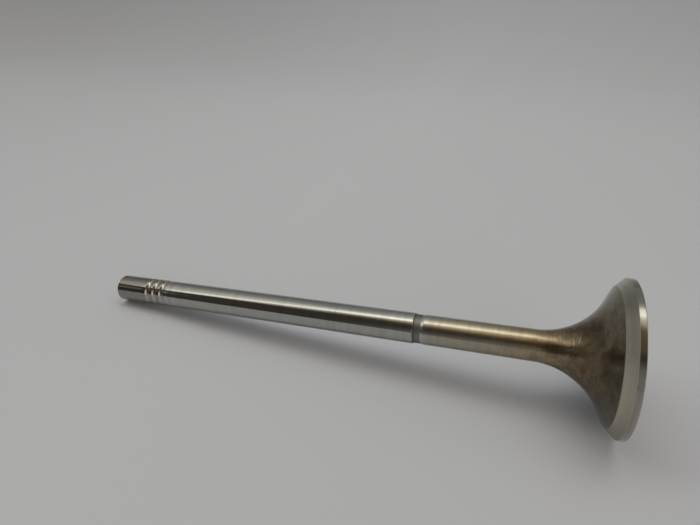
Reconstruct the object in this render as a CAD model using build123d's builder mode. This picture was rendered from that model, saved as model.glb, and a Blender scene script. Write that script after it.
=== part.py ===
"""Poppet valve of a heavy-duty diesel engine, standing on its combustion face.

One piece of steel, turned and ground about +Z. The origin is the centre of the flat
combustion face, and the stem rises from it to the hardened tip. Going up the valve:
combustion face, margin, 45 degree seat, back cone, neck, slimmer lower stem, relief
groove under the carbon-scraping edge, plated stem, three keeper grooves, tip.
"""
import math
import os

from build123d import *

# Overall
overall_length = 162.0
head_diameter = 40.0
stem_diameter = 8.95

# Head: margin, seat and back cone, with angles measured from the face's plane
margin_height = 1.45
face_chamfer = 0.15
seat_angle = 45.0
seat_rise = 2.25
back_angle = 25.7
neck_radius = 17.5

# Lower stem, ground below the plated size, and the relief under the scraping edge
lower_stem_undercut = 0.15
scraping_edge_height = 53.4
scraping_edge_chamfer = 0.12
relief_depth = 0.16
relief_width = 2.2
relief_run_out = 0.7

# Keeper grooves, counted down from the tip
groove_count = 3
tip_to_first_groove = 13.75
groove_pitch = 3.0
groove_radius = 1.1
groove_depth = 0.55
groove_lip_round = 0.12

# Tip
tip_chamfer = 0.35

# Radii that follow from the diameters
head_radius = head_diameter / 2
stem_radius = stem_diameter / 2
lower_stem_radius = stem_radius - lower_stem_undercut
relief_radius = lower_stem_radius - relief_depth

# The seat runs in and up from the margin, and the back cone goes on from it until
# it meets the line of the lower stem.
seat_inner_radius = head_radius - seat_rise / math.tan(math.radians(seat_angle))
seat_top = margin_height + seat_rise
cone_run = seat_inner_radius - lower_stem_radius
cone_top = seat_top + cone_run * math.tan(math.radians(back_angle))

# The neck's radius rounds the corner of cone and stem, as far as the cone is long.
cone_length = cone_run / math.cos(math.radians(back_angle))
neck_half_turn = math.radians(90 - back_angle) / 2
neck_limit = 0.97 * cone_length / math.tan(neck_half_turn)
neck_fillet = min(neck_radius, neck_limit)

# The relief lies straight under the scraping edge and runs out into the lower stem.
relief_bottom = scraping_edge_height - relief_width
run_out_bottom = relief_bottom - relief_run_out

# A groove is a circle whose centre stands off the axis, cut to groove_depth.
groove_centre_radius = stem_radius + groove_radius - groove_depth
groove_half_width = math.sqrt(groove_radius**2 - (groove_radius - groove_depth) ** 2)
groove_heights = [
    overall_length - tip_to_first_groove - groove_pitch * n for n in range(groove_count)
]


def corner(sketch, radius, height):
    """The outline's own vertex nearest to a radius and a height."""
    return sketch.vertices().sort_by_distance((radius, height))[0]


with BuildPart() as valve:
    # Half section, drawn with the radius across and the height up
    with BuildSketch(Plane.XZ) as section:
        with BuildLine():
            Polyline(
                (0, 0),
                (head_radius, 0),
                (head_radius, margin_height),
                (seat_inner_radius, seat_top),
                (lower_stem_radius, cone_top),
                (lower_stem_radius, run_out_bottom),
                (relief_radius, relief_bottom),
                (relief_radius, scraping_edge_height),
                (stem_radius, scraping_edge_height),
                (stem_radius, overall_length),
                (0, overall_length),
                close=True,
            )
        make_face()
        fillet(corner(section, lower_stem_radius, cone_top), neck_fillet)
        chamfer(corner(section, head_radius, 0), face_chamfer)
        chamfer(corner(section, stem_radius, scraping_edge_height), scraping_edge_chamfer)
        chamfer(corner(section, stem_radius, overall_length), tip_chamfer)

        # Keeper grooves, each with its two lips rounded
        with Locations([(groove_centre_radius, z) for z in groove_heights]):
            Circle(groove_radius, mode=Mode.SUBTRACT)
        lips = [
            corner(section, stem_radius, z + side * groove_half_width)
            for z in groove_heights
            for side in (-1, 1)
        ]
        fillet(lips, groove_lip_round)
    revolve(axis=Axis.Z)

valve.part.label = "valve"

os.makedirs("parts", exist_ok=True)
export_step(valve.part, "parts/valve.step")
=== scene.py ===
import math

import bpy
from mathutils import Matrix, Vector


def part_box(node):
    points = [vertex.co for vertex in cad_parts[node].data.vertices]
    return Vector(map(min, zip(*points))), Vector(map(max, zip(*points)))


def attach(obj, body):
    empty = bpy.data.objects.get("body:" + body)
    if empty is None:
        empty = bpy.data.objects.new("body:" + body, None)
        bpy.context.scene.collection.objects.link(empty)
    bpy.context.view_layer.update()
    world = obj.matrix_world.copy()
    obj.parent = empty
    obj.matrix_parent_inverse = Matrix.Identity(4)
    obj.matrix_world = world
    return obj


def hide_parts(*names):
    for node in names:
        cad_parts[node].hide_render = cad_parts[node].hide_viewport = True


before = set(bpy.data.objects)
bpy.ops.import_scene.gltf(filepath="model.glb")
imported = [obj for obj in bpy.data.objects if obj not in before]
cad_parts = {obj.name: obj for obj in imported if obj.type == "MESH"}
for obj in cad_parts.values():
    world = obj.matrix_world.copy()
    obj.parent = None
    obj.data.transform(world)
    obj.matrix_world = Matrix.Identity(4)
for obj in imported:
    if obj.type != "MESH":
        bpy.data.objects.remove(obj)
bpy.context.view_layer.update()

# ---------------------------------------------------------------------------
# The valve. One piece of steel: forged, friction welded in the stem, turned all
# over, hardened at the tip, plated along the guide length and ground. It stands on
# its combustion face, with its stem along Z.
# ---------------------------------------------------------------------------
MM = 0.001
face_low, face_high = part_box("valve")
head_radius = face_high.x
valve_length = face_high.z - face_low.z

face_chamfer = 0.15 * MM
margin_height = 1.45 * MM
seat_rise = 2.25 * MM
back_angle = math.radians(25.7)
neck_radius = 17.5 * MM
stem_radius = 4.475 * MM
lower_stem_radius = 4.325 * MM
relief_radius = 4.165 * MM
run_out_height = 50.5 * MM
relief_height = 51.2 * MM
scraping_edge_height = 53.4 * MM
scraping_edge_chamfer = 0.12 * MM
first_groove_height = valve_length - 13.75 * MM
groove_pitch = 3.0 * MM
groove_count = 3
groove_radius = 1.1 * MM
groove_depth = 0.55 * MM
groove_lip_round = 0.12 * MM
tip_chamfer = 0.35 * MM

# How finely each stretch of the outline is cut, and how finely it is turned.
face_steps = 24
cone_steps = 6
neck_steps = 96
stem_steps = 12
plate_steps = 40
lip_steps = 5
hollow_steps = 24
tip_steps = 6
steps_round = 256
sharp_corner = math.radians(12)


def straight(start, stop, steps):
    """Points along a straight stretch of the outline, without its first one."""
    return [
        tuple(a + (b - a) * n / steps for a, b in zip(start, stop))
        for n in range(1, steps + 1)
    ]


def turned_arc(centre, radius, start, stop, steps):
    """Points on an arc of the outline, as (radius, height), both ends included."""
    turns = [start + (stop - start) * n / steps for n in range(steps + 1)]
    return [(centre[0] + radius * math.cos(t), centre[1] + radius * math.sin(t)) for t in turns]


def cone_and_neck():
    """The back cone from the seat inwards, then the arc that turns it up the stem."""
    cone_top = seat_top[1] + (seat_top[0] - lower_stem_radius) * math.tan(back_angle)
    neck_turn = math.pi / 2 - back_angle
    centre = (lower_stem_radius + neck_radius, cone_top + neck_radius * math.tan(neck_turn / 2))
    arc = turned_arc(centre, neck_radius, neck_turn - math.pi, -math.pi, neck_steps)
    return straight(seat_top, arc[0], cone_steps) + arc[1:]


def neck_outline_radius(height):
    """How far the neck's outline stands from the middle at a height."""
    outline = cone_and_neck()
    (low_r, low), (high_r, high) = next(
        pair for pair in zip(outline, outline[1:]) if pair[1][1] >= height
    )
    return low_r + (high_r - low_r) * (height - low) / (high - low)


def keeper_groove(height):
    """One round groove from its lower lip to its upper one, both lips rounded."""
    centre = (stem_radius + groove_radius - groove_depth, height)
    lip_radius = stem_radius - groove_lip_round
    lip_across = centre[0] - lip_radius
    lip_along = math.sqrt((groove_radius + groove_lip_round) ** 2 - lip_across**2)
    turn = math.atan2(lip_along, lip_across)
    low_lip = turned_arc((lip_radius, height - lip_along), groove_lip_round, 0, turn, lip_steps)
    hollow = turned_arc(centre, groove_radius, math.pi + turn, math.pi - turn, hollow_steps)
    high_lip = turned_arc((lip_radius, height + lip_along), groove_lip_round, -turn, 0, lip_steps)
    return low_lip + hollow[1:-1] + high_lip


# The outline runs from the middle of the face, out round the head and up to the tip.
face_rim = (head_radius - face_chamfer, 0)
seat_corner = (head_radius, margin_height)
seat_top = (head_radius - seat_rise, margin_height + seat_rise)
lower_stem_foot = cone_and_neck()[-1]
lower_stem_top = (lower_stem_radius, run_out_height)
scraping_edge = (stem_radius - scraping_edge_chamfer, scraping_edge_height)
plating_foot = (stem_radius, scraping_edge_height + scraping_edge_chamfer)
tip_corner = (stem_radius, valve_length - tip_chamfer)
tip_rim = (stem_radius - tip_chamfer, valve_length)
grooves = [
    keeper_groove(first_groove_height - n * groove_pitch)
    for n in reversed(range(groove_count))
]
lands_and_grooves = [
    stretch
    for groove in grooves[1:]
    for stretch in (("tip", [groove[0]]), ("grooves", groove[1:]))
]
stretches = [
    ("combustion_face", [(0, 0)] + straight((0, 0), face_rim, face_steps)),
    ("worn_edge", [(head_radius, face_chamfer)]),
    ("margin", [seat_corner]),
    ("seat", straight(seat_corner, seat_top, cone_steps)),
    ("neck", cone_and_neck() + straight(lower_stem_foot, lower_stem_top, stem_steps)),
    ("run_out", [(relief_radius, relief_height)]),
    ("relief", [(relief_radius, scraping_edge_height)]),
    ("worn_edge", [scraping_edge, plating_foot]),
    ("plating", straight(plating_foot, grooves[0][0], plate_steps)),
    ("grooves", grooves[0][1:]),
    *lands_and_grooves,
    ("tip", straight(grooves[-1][-1], tip_corner, tip_steps)),
    ("worn_edge", [tip_rim]),
    ("tip_face", straight(tip_rim, (0, valve_length), tip_steps)),
]


def turn_valve(stretches):
    """Turns the outline about Z, with a finish for each stretch and the run along it."""
    outline, finish_of_band = [], []
    for finish, points in stretches:
        outline += points
        finish_of_band += [finish] * len(points)
    runs = [0.0]
    for (r0, z0), (r1, z1) in zip(outline, outline[1:]):
        runs.append(runs[-1] + math.hypot(r1 - r0, z1 - z0))
    verts, run_of_vert, rings = [], [], []
    for (radius, height), run in zip(outline, runs):
        count = steps_round if radius > 0 else 1
        rings.append(range(len(verts), len(verts) + count))
        for n in range(count):
            turn = 2 * math.pi * n / steps_round
            verts.append((radius * math.cos(turn), radius * math.sin(turn), height))
            run_of_vert.append(run)
    names = list(dict.fromkeys(finish_of_band))
    faces, slots = [], []
    for low, high, finish in zip(rings, rings[1:], finish_of_band[1:]):
        for n in range(steps_round):
            m = (n + 1) % steps_round
            corners = [low[n % len(low)], low[m % len(low)], high[m % len(high)], high[n % len(high)]]
            faces.append(list(dict.fromkeys(corners)))
            slots.append(names.index(finish))
    mesh = bpy.data.meshes.new("turned_valve")
    mesh.from_pydata(verts, [], faces)
    mesh.attributes.new("run", "FLOAT", "POINT").data.foreach_set("value", run_of_vert)
    mesh.polygons.foreach_set("material_index", slots)
    mesh.shade_smooth()
    mesh.set_sharp_from_angle(angle=sharp_corner)
    turned = bpy.data.objects.new("turned_valve", mesh)
    bpy.context.scene.collection.objects.link(turned)
    return turned, names


valve, finish_names = turn_valve(stretches)


def new_metal(name, roughness, anisotropic=0.0):
    """A bare metal: its node tree and its shader. The grain runs round the valve."""
    material = bpy.data.materials.new(name)
    material.use_nodes = True
    tree = material.node_tree
    shader = tree.nodes["Principled BSDF"]
    shader.inputs["Metallic"].default_value = 1.0
    shader.inputs["Roughness"].default_value = roughness
    shader.inputs["Anisotropic"].default_value = anisotropic
    shader.inputs["Anisotropic Rotation"].default_value = 0.25
    if anisotropic:
        tangent = tree.nodes.new("ShaderNodeTangent")
        tangent.direction_type = "RADIAL"
        tangent.axis = "Z"
        tree.links.new(tangent.outputs[0], shader.inputs["Tangent"])
    return material, tree, shader


def marks(tree, along, around, detail=2.0, shift=0.0):
    """Noise with so many marks per metre along the outline and round the valve."""
    place = tree.nodes.new("ShaderNodeTexCoord")
    round_it = tree.nodes.new("ShaderNodeVectorMath")
    round_it.operation = "MULTIPLY"
    round_it.inputs[1].default_value = (around, around, 0)
    run = tree.nodes.new("ShaderNodeAttribute")
    run.attribute_name = "run"
    spaced = tree.nodes.new("ShaderNodeMath")
    spaced.operation = "MULTIPLY_ADD"
    spaced.inputs[1].default_value = along
    spaced.inputs[2].default_value = shift
    upright = tree.nodes.new("ShaderNodeCombineXYZ")
    both = tree.nodes.new("ShaderNodeVectorMath")
    noise = tree.nodes.new("ShaderNodeTexNoise")
    noise.inputs["Scale"].default_value = 1.0
    noise.inputs["Detail"].default_value = detail
    tree.links.new(place.outputs["Object"], round_it.inputs[0])
    tree.links.new(run.outputs["Fac"], spaced.inputs[0])
    tree.links.new(spaced.outputs[0], upright.inputs["Z"])
    tree.links.new(round_it.outputs[0], both.inputs[0])
    tree.links.new(upright.outputs[0], both.inputs[1])
    tree.links.new(both.outputs[0], noise.inputs["Vector"])
    return noise.outputs["Fac"]


def ramp(tree, value, stops):
    """Colours or greys along a value, as (position, colour) pairs."""
    node = tree.nodes.new("ShaderNodeValToRGB")
    elements = node.color_ramp.elements
    while len(elements) < len(stops):
        elements.new(0.5)
    for element, (position, colour) in zip(elements, stops):
        element.position = position
        grey = isinstance(colour, (int, float))
        element.color = (colour, colour, colour, 1) if grey else (*colour, 1)
    tree.links.new(value, node.inputs["Fac"])
    return node.outputs["Color"]


def two_tone(tree, noise, low_tone, high_tone):
    """One tone in the noise's hollows and another on its crests."""
    hollow, crest = 0.3, 0.7
    return ramp(tree, noise, [(hollow, low_tone), (crest, high_tone)])


def between(tree, value, low, high):
    """How far a value has come from low to high, held at 0 and 1 outside them."""
    spread = tree.nodes.new("ShaderNodeMapRange")
    spread.inputs["From Min"].default_value = low
    spread.inputs["From Max"].default_value = high
    tree.links.new(value, spread.inputs["Value"])
    return spread.outputs[0]


def own_axis(tree, axis):
    """Where a point lies along one of its object's own axes."""
    place = tree.nodes.new("ShaderNodeTexCoord")
    parts = tree.nodes.new("ShaderNodeSeparateXYZ")
    tree.links.new(place.outputs["Object"], parts.inputs[0])
    return parts.outputs[axis]


def height_ramp(tree, stops):
    """Colours or greys up the valve, as (height, colour) pairs."""
    low, high = stops[0][0], stops[-1][0]
    share = between(tree, own_axis(tree, "Z"), low, high)
    return ramp(tree, share, [((h - low) / (high - low), c) for h, c in stops])


def blend(tree, share, first, second, mode="MIX"):
    """Two colours mixed by a share. Each may be a socket, a colour or a number."""
    node = tree.nodes.new("ShaderNodeMix")
    node.data_type = "RGBA"
    node.blend_type = mode
    for socket, value in ((node.inputs[0], share), (node.inputs[6], first), (node.inputs[7], second)):
        if isinstance(value, bpy.types.NodeSocket):
            tree.links.new(value, socket)
        elif isinstance(value, tuple):
            socket.default_value = (*value, 1)
        else:
            socket.default_value = value
    return node.outputs[2]


def times(tree, tone, shade):
    """A colour or a roughness, with another multiplied onto it."""
    return blend(tree, 1.0, tone, shade, "MULTIPLY")


def stroke(tree, height, turn, tilt, length):
    """A thin mark on the neck, as a share that fades out at its ends."""
    width = 0.25 * MM
    across = neck_outline_radius(height)
    place = tree.nodes.new("ShaderNodeTexCoord")
    where = tree.nodes.new("ShaderNodeMapping")
    where.vector_type = "TEXTURE"
    turn, tilt = math.radians(turn), math.radians(tilt)
    where.inputs["Location"].default_value = (across * math.cos(turn), across * math.sin(turn), height)
    where.inputs["Rotation"].default_value = (0, tilt, turn + math.pi / 2)
    where.inputs["Scale"].default_value = (length / 2, length / 2, width / 2)
    spot = tree.nodes.new("ShaderNodeTexGradient")
    spot.gradient_type = "SPHERICAL"
    tree.links.new(place.outputs["Object"], where.inputs[0])
    tree.links.new(where.outputs[0], spot.inputs[0])
    full_at = 0.45
    return ramp(tree, spot.outputs["Fac"], [(0.0, 0.0), (full_at, 1.0)])


def finish(tree, shader, tone, roughness=None, height=None, depth=0.0):
    """Joins a metal's colour, its roughness and the marks cut into it."""
    tree.links.new(tone, shader.inputs["Base Color"])
    if roughness:
        tree.links.new(roughness, shader.inputs["Roughness"])
    if height:
        bump = tree.nodes.new("ShaderNodeBump")
        bump.inputs["Distance"].default_value = depth
        tree.links.new(height, bump.inputs["Height"])
        tree.links.new(bump.outputs[0], shader.inputs["Normal"])


def plating():
    """Hard plate, centreless ground: fine lines round it, and the weld's faint rings."""
    material, tree, shader = new_metal("ground_plating", roughness=0.10, anisotropic=0.7)
    fine = marks(tree, along=9000, around=40)
    bands = marks(tree, along=420, around=15, detail=4.0)
    dark_line = (0.397, 0.396, 0.374)
    light_line = (0.437, 0.436, 0.412)
    tone = two_tone(tree, fine, dark_line, light_line)
    tone = times(tree, tone, two_tone(tree, bands, 0.93, 1.07))
    weld = height_ramp(
        tree,
        [
            (76.7 * MM, 1.0),
            (77.1 * MM, 0.78),
            (77.5 * MM, 1.03),
            (77.9 * MM, 0.91),
            (78.3 * MM, 1.02),
            (78.8 * MM, 0.88),
            (79.3 * MM, 1.0),
        ],
    )
    tone = times(tree, tone, weld)
    upper_end = height_ramp(
        tree,
        [
            (136.2 * MM, 1.0),
            (137.4 * MM, 1.12),
            (138.5 * MM, 0.92),
            (139.9 * MM, 1.14),
            (140.6 * MM, 0.95),
        ],
    )
    tone = times(tree, tone, upper_end)
    dull = two_tone(tree, bands, 0.08, 0.12)
    finish(tree, shader, tone, dull, fine, depth=0.001 * MM)
    return material


def tip(name="hardened_tip"):
    """Bare hardened steel above the plate, a warmer grey with a satin grain."""
    material, tree, shader = new_metal(name, roughness=0.16, anisotropic=0.5)
    fine = marks(tree, along=7000, around=50)
    bands = marks(tree, along=500, around=20, detail=4.0)
    dark_line = (0.29, 0.27, 0.24)
    light_line = (0.34, 0.32, 0.29)
    tone = two_tone(tree, fine, dark_line, light_line)
    tone = times(tree, tone, two_tone(tree, bands, 0.85, 1.1))
    dull = two_tone(tree, bands, 0.10, 0.15)
    finish(tree, shader, tone, dull, fine, depth=0.002 * MM)
    return material


def tip_face():
    """The end that the rocker pushes, ground flat, in the same bare steel."""
    return tip("tip_face")


def grooves_finish():
    """Turned grooves, left bright from the tool."""
    material, tree, shader = new_metal("turned_grooves", roughness=0.14, anisotropic=0.0)
    fine = marks(tree, along=9000, around=60)
    dark_line = (0.40, 0.385, 0.345)
    light_line = (0.48, 0.465, 0.42)
    tone = two_tone(tree, fine, dark_line, light_line)
    dull = two_tone(tree, fine, 0.10, 0.18)
    finish(tree, shader, tone, dull, fine, depth=0.002 * MM)
    return material


def worn_edge():
    """Corners that hands and neighbours have rubbed bright."""
    material, tree, shader = new_metal("worn_edge", roughness=0.2, anisotropic=0.0)
    patches = marks(tree, along=1500, around=350, detail=3.0)
    handled_steel = (0.36, 0.35, 0.32)
    rubbed_steel = (0.56, 0.55, 0.51)
    tone = ramp(tree, patches, [(0.35, handled_steel), (0.65, rubbed_steel)])
    dull = two_tone(tree, patches, 0.16, 0.3)
    finish(tree, shader, tone, dull)
    return material


def relief():
    """The undercut below the plate, dark and dull from the tool, with painted shadow in its corner
    under the plate's edge.
    """
    material, tree, shader = new_metal("turned_relief", roughness=0.5, anisotropic=0.3)
    fine = marks(tree, along=7000, around=60)
    bands = marks(tree, along=1600, around=25)
    dark_line = (0.205, 0.21, 0.20)
    light_line = (0.26, 0.265, 0.25)
    tone = two_tone(tree, fine, dark_line, light_line)
    # Painted shadow: the tone is lightest at the run-out end and falls to half in the corner under the
    # plate's edge.
    painted_shadow_starts = 52.7 * MM
    shade = height_ramp(
        tree,
        [(relief_height, 1.08), (painted_shadow_starts, 0.96), (scraping_edge_height, 0.5)],
    )
    tone = times(tree, tone, shade)
    tone = times(tree, tone, two_tone(tree, bands, 0.88, 1.1))
    finish(tree, shader, tone, None, fine, depth=0.004 * MM)
    return material


def run_out():
    """The cone where the undercut runs out, a little brighter than the steel beside it."""
    material, tree, shader = new_metal("bright_run_out", roughness=0.3, anisotropic=0.3)
    fine = marks(tree, along=7000, around=60)
    dark_line = (0.47, 0.47, 0.465)
    light_line = (0.55, 0.55, 0.545)
    tone = two_tone(tree, fine, dark_line, light_line)
    finish(tree, shader, tone, None, fine, depth=0.003 * MM)
    return material


def neck():
    """Austenitic steel that the gas has tinted straw, and baked brown and dull below."""
    material, tree, shader = new_metal("heat_tinted_steel", roughness=0.3, anisotropic=0.35)
    shader.inputs["Coat Weight"].default_value = 0.25
    shader.inputs["Coat Roughness"].default_value = 0.3
    straw = height_ramp(
        tree,
        [
            (3 * MM, (0.112, 0.091, 0.06)),
            (9 * MM, (0.152, 0.114, 0.069)),
            (13 * MM, (0.20, 0.154, 0.095)),
            (17 * MM, (0.275, 0.216, 0.136)),
            (24 * MM, (0.355, 0.30, 0.208)),
            (32 * MM, (0.385, 0.344, 0.256)),
            (40 * MM, (0.39, 0.356, 0.278)),
            (49.0 * MM, (0.395, 0.37, 0.312)),
            (50.0 * MM, (0.42, 0.41, 0.37)),
        ],
    )
    fine = marks(tree, along=5200, around=90, detail=3.0)
    rings = marks(tree, along=900, around=12, detail=4.0)
    blotches = marks(tree, along=380, around=380, detail=7.0)
    specks = marks(tree, along=1900, around=1900, detail=3.0)
    baked = height_ramp(tree, [(14 * MM, 1.0), (24 * MM, 0.45), (34 * MM, 0.18), (50 * MM, 0.05)])
    soot = (0.7, 0.65, 0.6)
    bare = (1.28, 1.28, 1.18)
    dapple = ramp(tree, blotches, [(0.32, soot), (0.5, 1.0), (0.68, bare)])
    tone = blend(tree, baked, straw, times(tree, straw, dapple))
    grit = ramp(tree, specks, [(0.34, 0.82), (0.5, 1.0), (0.7, 1.22)])
    tone = blend(tree, baked, tone, times(tree, tone, grit))
    lines = ramp(tree, fine, [(0.32, 0.93), (0.68, 1.07)])
    tone = times(tree, tone, lines)
    tone = times(tree, tone, two_tone(tree, rings, 0.91, 1.08))
    bright_nick = stroke(tree, height=11.3 * MM, turn=287, tilt=8, length=3.4 * MM)
    second_nick = stroke(tree, height=12.6 * MM, turn=279, tilt=-4, length=2.6 * MM)
    nick_steel = (0.40, 0.35, 0.28)
    nick_straw = (0.42, 0.36, 0.26)
    tone = blend(tree, bright_nick, tone, nick_steel)
    tone = blend(tree, second_nick, tone, nick_straw)
    dark_scratch = stroke(tree, height=13.4 * MM, turn=268, tilt=70, length=3.0 * MM)
    short_scratch = stroke(tree, height=9.6 * MM, turn=276, tilt=62, length=2.4 * MM)
    scratch_brown = (0.05, 0.04, 0.03)
    short_scratch_brown = (0.05, 0.042, 0.03)
    tone = blend(tree, dark_scratch, tone, scratch_brown)
    tone = blend(tree, short_scratch, tone, short_scratch_brown)
    dull = height_ramp(
        tree,
        [(3 * MM, 0.14), (8 * MM, 0.18), (13 * MM, 0.27), (18 * MM, 0.25), (49 * MM, 0.21)],
    )
    dull = times(tree, dull, two_tone(tree, specks, 0.9, 1.12))
    finish(tree, shader, tone, dull, fine, depth=0.008 * MM)
    return material


def seat():
    """The sealing face, ground to a fine warm grey, with faint stains."""
    material, tree, shader = new_metal("ground_seat", roughness=0.24, anisotropic=0.0)
    fine = marks(tree, along=9000, around=60)
    bands = marks(tree, along=1500, around=30)
    patches = marks(tree, along=150, around=75, detail=3.0, shift=2.0)
    dark_line = (0.395, 0.365, 0.303)
    light_line = (0.47, 0.438, 0.368)
    tone = two_tone(tree, fine, dark_line, light_line)
    tone = times(tree, tone, two_tone(tree, bands, 0.92, 1.06))
    stained = (0.88, 0.83, 0.86)
    clean = (1.05, 1.08, 1.0)
    stain = ramp(tree, patches, [(0.3, stained), (0.5, 1.0), (0.7, clean)])
    tone = times(tree, tone, stain)
    finish(tree, shader, tone, None, fine, depth=0.004 * MM)
    return material


def margin():
    """The rim, turned bright."""
    material, tree, shader = new_metal("turned_margin", roughness=0.14, anisotropic=0.3)
    fine = marks(tree, along=7000, around=60)
    patches = marks(tree, along=700, around=120, detail=4.0)
    dark_line = (0.33, 0.31, 0.27)
    light_line = (0.42, 0.40, 0.35)
    tone = two_tone(tree, fine, dark_line, light_line)
    tone = times(tree, tone, two_tone(tree, patches, 0.85, 1.1))
    dull = two_tone(tree, patches, 0.11, 0.17)
    finish(tree, shader, tone, dull, fine, depth=0.002 * MM)
    return material


def combustion_face():
    """The flat face of the head, with the rings that facing it in the lathe leaves."""
    material, tree, shader = new_metal("turned_face", roughness=0.32, anisotropic=0.4)
    fine = marks(tree, along=3500, around=25)
    bands = marks(tree, along=500, around=12, detail=4.0)
    dark_line = (0.29, 0.28, 0.255)
    light_line = (0.38, 0.37, 0.345)
    tone = two_tone(tree, fine, dark_line, light_line)
    tone = times(tree, tone, two_tone(tree, bands, 0.86, 1.1))
    finish(tree, shader, tone, None, fine, depth=0.01 * MM)
    return material


finishes = {
    "combustion_face": combustion_face,
    "margin": margin,
    "seat": seat,
    "neck": neck,
    "run_out": run_out,
    "relief": relief,
    "plating": plating,
    "tip": tip,
    "grooves": grooves_finish,
    "worn_edge": worn_edge,
    "tip_face": tip_face,
}
for name in finish_names:
    valve.data.materials.append(finishes[name]())
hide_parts("valve")
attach(valve, "root")

# ---------------------------------------------------------------------------
# The bench. The valve leans on the rim of its head and on the edge of its tip, and a
# pale sheet lies under it and sweeps up behind it. Seen from below it isn't there.
# ---------------------------------------------------------------------------
lean_direction = math.radians(-45)
lean = math.atan((seat_corner[0] - tip_corner[0]) / (tip_corner[1] - seat_corner[1]))
out = Vector((math.cos(lean_direction), math.sin(lean_direction), 0))
above = out * math.cos(lean) - Vector((0, 0, 1)) * math.sin(lean)
beside = out.cross(Vector((0, 0, 1)))
along_valve = beside.cross(above)
rim_drop = seat_corner[0] * math.cos(lean) + seat_corner[1] * math.sin(lean)
under_face = -above * rim_drop
bench = Matrix((along_valve, beside, above)).transposed().to_4x4()
bench.translation = under_face

sheet_half_width = 1.6
sheet_front = 2.0
sheet_back = 0.5
sweep_radius = 0.4
sweep_height = 0.5
sweep_steps = 24
curve = [
    (-sheet_back - sweep_radius * math.sin(t), sweep_radius * (1 - math.cos(t)))
    for t in (math.pi / 2 * n / sweep_steps for n in range(sweep_steps + 1))
]
side_line = [(sheet_front, 0)] + curve + [(-sheet_back - sweep_radius, sweep_height)]
sheet_verts = [(x, y, z) for y, z in side_line for x in (-sheet_half_width, sheet_half_width)]
sheet_faces = [(2 * n + 1, 2 * n, 2 * n + 2, 2 * n + 3) for n in range(len(side_line) - 1)]
sheet_mesh = bpy.data.meshes.new("bench_sheet")
sheet_mesh.from_pydata(sheet_verts, [], sheet_faces)
sheet_mesh.shade_smooth()
sheet = bpy.data.objects.new("bench_sheet", sheet_mesh)
sheet.matrix_world = bench
bpy.context.scene.collection.objects.link(sheet)

paper = bpy.data.materials.new("pale_paper")
paper.use_nodes = True
paper_tree = paper.node_tree
paper_shader = paper_tree.nodes["Principled BSDF"]
# The paper is one pale colour. Painted shade darkens it away from the valve towards the sweep, and
# towards both ends of the sheet.
near_paper = (0.765, 0.797, 0.89)
painted_dim_paper = (0.69, 0.72, 0.81)
painted_shade_begins, painted_shade_ends = -0.3, -0.9
head_side, tip_side = -0.7, 0.9
painted_shade_away = between(paper_tree, own_axis(paper_tree, "Y"), painted_shade_begins, painted_shade_ends)
along_sheet = between(paper_tree, own_axis(paper_tree, "X"), head_side, tip_side)
paper_tone = ramp(paper_tree, painted_shade_away, [(0.0, near_paper), (1.0, painted_dim_paper)])
painted_end_shade = ramp(
    paper_tree,
    along_sheet,
    [(0.0, 0.84), (0.3, 0.92), (0.44, 0.98), (0.52, 1.0), (0.6, 0.97), (0.75, 0.9), (1.0, 0.84)],
)
paper_tone = times(paper_tree, paper_tone, painted_end_shade)
paper_tree.links.new(paper_tone, paper_shader.inputs["Base Color"])
paper_shader.inputs["Roughness"].default_value = 0.9
paper_shader.inputs["Specular IOR Level"].default_value = 0.1
facing = paper_tree.nodes.new("ShaderNodeNewGeometry")
clear = paper_tree.nodes.new("ShaderNodeBsdfTransparent")
one_sided = paper_tree.nodes.new("ShaderNodeMixShader")
paper_tree.links.new(facing.outputs["Backfacing"], one_sided.inputs[0])
paper_tree.links.new(paper_shader.outputs[0], one_sided.inputs[1])
paper_tree.links.new(clear.outputs[0], one_sided.inputs[2])
paper_tree.links.new(one_sided.outputs[0], paper_tree.nodes["Material Output"].inputs["Surface"])
sheet_mesh.materials.append(paper)

# ---------------------------------------------------------------------------
# Light. A long soft lamp hangs over the valve under a bright ceiling. The room is
# grey behind it and dark on the camera's side, which is what the polished stem shows.
# ---------------------------------------------------------------------------
lamp_height = 0.9
lamp_length = 2.0
lamp_width = 0.2
lamp_middle = (0.45, 0.06)
lamp_turn = math.radians(26)
lamp_radiance = 0.82
lamp_colour = (1.0, 0.99, 0.97)
lamp_data = bpy.data.lights.new("overhead_lamp", "AREA")
lamp_data.shape = "RECTANGLE"
lamp_data.size = lamp_length
lamp_data.size_y = lamp_width
lamp_data.energy = lamp_radiance * math.pi * lamp_length * lamp_width
lamp_data.color = lamp_colour
lamp = bpy.data.objects.new("overhead_lamp", lamp_data)
hung = Matrix.Translation((*lamp_middle, lamp_height)) @ Matrix.Rotation(lamp_turn, 4, "Z")
lamp.matrix_world = bench @ hung
lamp.visible_camera = False
bpy.context.scene.collection.objects.link(lamp)

world = bpy.data.worlds.new("room")
bpy.context.scene.world = world
world.use_nodes = True
room = world.node_tree
room_light = room.nodes["Background"]
look = room.nodes.new("ShaderNodeTexCoord")


def reading(direction):
    """The cosine of the angle between a line of sight and a direction in the room."""
    dot = room.nodes.new("ShaderNodeVectorMath")
    dot.operation = "DOT_PRODUCT"
    dot.inputs[1].default_value = direction
    room.links.new(look.outputs["Generated"], dot.inputs[0])
    return dot.outputs["Value"]


# Degrees round the valve's line: -90 is level behind it, 0 overhead, 90 level in front.
lean_over = room.nodes.new("ShaderNodeMath")
lean_over.operation = "ARCTAN2"
room.links.new(reading(beside), lean_over.inputs[0])
room.links.new(reading(above), lean_over.inputs[1])
side_angle = between(room, lean_over.outputs[0], -math.pi, math.pi)


def slice_of_room(stops):
    """Room tones across one slice of it, as (degrees from overhead, tone)."""
    return ramp(room, side_angle, [((degrees + 180) / 360, tone) for degrees, tone in stops])


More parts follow.
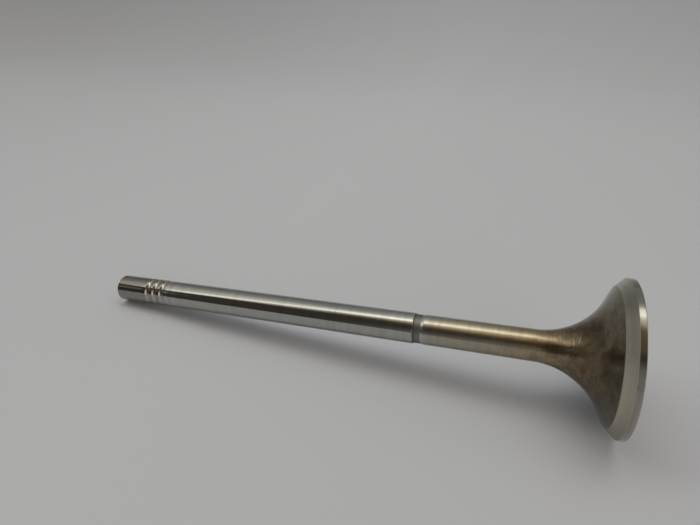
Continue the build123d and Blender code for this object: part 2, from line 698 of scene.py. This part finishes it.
# The tones in the room, from the lamp's own strip of ceiling down to the dark side.
bright_strip = (1.76, 1.72, 1.54)
strip = (1.25, 1.22, 1.09)
glow = (0.86, 0.84, 0.75)
lit_wall = (0.46, 0.455, 0.43)
wall = (0.30, 0.30, 0.295)
dim_wall = (0.215, 0.21, 0.20)
amber = (0.66, 0.54, 0.335)
brown = (0.165, 0.122, 0.074)
dark = (0.06, 0.052, 0.045)

beyond_head = slice_of_room(
    [
        (-90, wall),
        (-30, wall),
        (-19, glow),
        (-10, strip),
        (-2, glow),
        (4, amber),
        (10, brown),
        (38, brown),
        (46, dark),
        (52, dark),
        (64, dim_wall),
        (78, wall),
    ]
)
over_head = slice_of_room(
    [
        (-90, wall),
        (-44, lit_wall),
        (-29, glow),
        (-23, strip),
        (-13, bright_strip),
        (-5, bright_strip),
        (3, strip),
        (10, glow),
        (19, amber),
        (34, brown),
        (46, dark),
        (58, dark),
        (90, dim_wall),
    ]
)
over_stem = slice_of_room(
    [
        (-90, dim_wall),
        (-50, wall),
        (-24, lit_wall),
        (-13, glow),
        (-8, strip),
        (0, strip),
        (7, glow),
        (16, amber),
        (24, brown),
        (31, dark),
        (90, dark),
    ]
)
beyond_tip = slice_of_room(
    [
        (-90, lit_wall),
        (-76, wall),
        (-62, dim_wall),
        (-46, wall),
        (-26, lit_wall),
        (4, glow),
        (27, glow),
        (31, brown),
        (38, dark),
        (90, dark),
    ]
)
past_tip = slice_of_room(
    [
        (-90, dim_wall),
        (-66, dim_wall),
        (-42, wall),
        (-22, lit_wall),
        (12, glow),
        (22, lit_wall),
        (27, brown),
        (44, dark),
        (49, wall),
        (57, wall),
        (63, dark),
        (90, dark),
    ]
)
behind_head = slice_of_room(
    [
        (-90, glow),
        (-62, glow),
        (-52, brown),
        (-30, brown),
        (-7, glow),
        (6, brown),
        (40, brown),
        (58, glow),
        (90, glow),
    ]
)
towards_tip = reading(along_valve)
room_tone = blend(room, between(room, towards_tip, -0.14, 0.11), beyond_head, over_head)
room_tone = blend(room, between(room, towards_tip, 0.11, 0.40), room_tone, over_stem)
room_tone = blend(room, between(room, towards_tip, 0.40, 0.68), room_tone, beyond_tip)
room_tone = blend(room, between(room, towards_tip, 0.69, 0.73), room_tone, past_tip)
room_tone = blend(room, between(room, towards_tip, 0.86, 0.94), room_tone, wall)
room_tone = blend(room, between(room, towards_tip, -0.25, -0.5), room_tone, behind_head)
backdrop_grey = (0.40, 0.40, 0.405)
seen = room.nodes.new("ShaderNodeLightPath")
backdrop = blend(room, seen.outputs["Is Camera Ray"], room_tone, backdrop_grey)
room.links.new(backdrop, room_light.inputs["Color"])

# ---------------------------------------------------------------------------
# Camera, held close over the bench with a wide lens. It looks down on the valve from
# its side, with the head to the right.
# ---------------------------------------------------------------------------
camera_lens = 23.547
nearest_seen = 5 * MM
camera_data = bpy.data.cameras.new("camera")
camera_data.lens = camera_lens
camera_data.clip_start = nearest_seen
camera = bpy.data.objects.new("camera", camera_data)
camera_place = Vector((35.21, 104.52, 98.91)) * MM
camera_aim = Vector((92.22, -52.20, 0)) * MM
forward = (camera_aim - camera_place).normalized()
rightward = forward.cross(Vector((0, 0, 1))).normalized()
upward = rightward.cross(forward)
view = Matrix((rightward, upward, -forward)).transposed().to_4x4()
view.translation = camera_place
camera.matrix_world = bench @ view
bpy.context.scene.collection.objects.link(camera)
bpy.context.scene.camera = camera
bpy.context.scene.view_settings.view_transform = "Standard"
